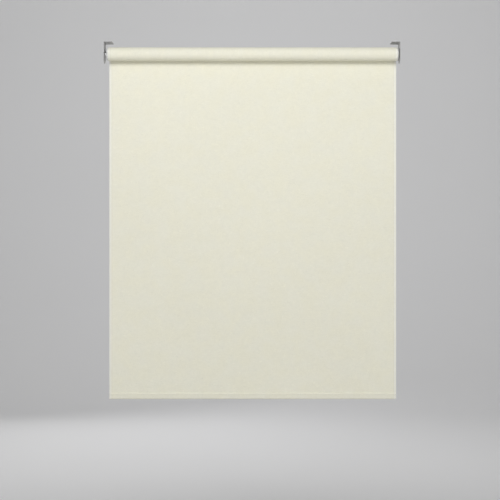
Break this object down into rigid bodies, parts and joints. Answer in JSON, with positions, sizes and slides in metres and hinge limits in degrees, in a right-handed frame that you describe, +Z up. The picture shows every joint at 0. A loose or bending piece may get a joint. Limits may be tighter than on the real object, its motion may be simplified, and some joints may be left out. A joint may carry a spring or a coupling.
{
  "type": "roller blind",
  "caption": "Cordless spring roller blind: woven fabric on a grooved tube between slotted and holed end brackets, with a hem bar, raised and lowered by hand.",
  "frame": {"origin": "mid-width, on the plane of the bracket flanges' top faces, in the vertical plane of the roller's axis", "axes": "+X to the right as seen from the room, +Y from the room towards the window, +Z up"},
  "size_m": [0.79, 0.0415, 0.9564],
  "materials": {
    "blind_fabric": "woven polyester, cream, faintly flecked, light filtering",
    "bracket_paint": "satin light grey powder coat on pressed steel",
    "bright_steel": "bright zinc-plated steel",
    "spring_steel": "oiled spring wire",
    "aluminium": "mill-finish extruded aluminium",
    "white_plastic": "moulded white plastic, satin",
    "nylon": "natural nylon",
    "brass": "stamped brass"
  },
  "bodies": {
    "frame": {"bracket_left": "bracket_paint", "bracket_right": "bracket_paint", "pin_bush": "nylon", "keeper_rivet": "bright_steel", "spring_spindle": "bright_steel", "ratchet_disc": "bright_steel", "thrust_washer": "bright_steel", "spindle_clip": "spring_steel", "spring_collar": "nylon", "torsion_spring": "spring_steel", "fabric_sheet": "blind_fabric"},
    "roller": {"roller_tube": "aluminium", "fabric_spline": "white_plastic", "fabric_roll": "blind_fabric", "ratchet_cover": "white_plastic", "end_plug_left": "white_plastic", "spring_anchor": "nylon", "end_plug_right": "white_plastic", "pin_retainer": "nylon", "idle_pin_spring": "spring_steel", "pawl_pin_a": "bright_steel", "pawl_pin_b": "bright_steel"},
    "pawl_a_body": {"pawl_a": "brass"},
    "pawl_b_body": {"pawl_b": "brass"},
    "idle_pin_body": {"idle_pin": "bright_steel"},
    "keeper": {"pin_keeper": "bright_steel"},
    "bottom_bar_body": {"fabric_hem": "blind_fabric", "bottom_bar": "aluminium", "bar_cap_left": "white_plastic", "bar_cap_right": "white_plastic"}
  },
  "joints": [
    {"name": "roller_spin", "type": "hinge", "parent": "frame", "child": "roller", "pos_m": [0, 0, -0.031], "axis": [1, 0, 0], "range_deg": [0, 2520]},
    {"name": "bottom_bar_lift", "type": "slide", "parent": "frame", "child": "bottom_bar_body", "axis": [0, 0, 1], "range_m": [0, 0.8664], "deforming": ["fabric_sheet"]},
    {"name": "idle_pin_press", "type": "slide", "parent": "roller", "child": "idle_pin_body", "axis": [-1, 0, 0], "range_m": [0, 0.006], "stiffness_N_per_m": 300, "springref_m": -0.01, "deforming": ["idle_pin_spring"]},
    {"name": "pawl_a_swing", "type": "hinge", "parent": "roller", "child": "pawl_a_body", "pos_m": [-0.3785, 0, -0.0204], "axis": [1, 0, 0], "range_deg": [0, 16]},
    {"name": "pawl_b_swing", "type": "hinge", "parent": "roller", "child": "pawl_b_body", "pos_m": [-0.3785, 0, -0.0416], "axis": [1, 0, 0], "range_deg": [0, 16]},
    {"name": "keeper_turn", "type": "hinge", "parent": "frame", "child": "keeper", "pos_m": [-0.3925, 0.011, -0.0246], "axis": [-1, 0, 0], "range_deg": [0, 40]}
  ],
  "couplings": [
    {"joint": "bottom_bar_lift", "follows": "roller_spin", "m_per_rad": 0.019698}
  ]
}
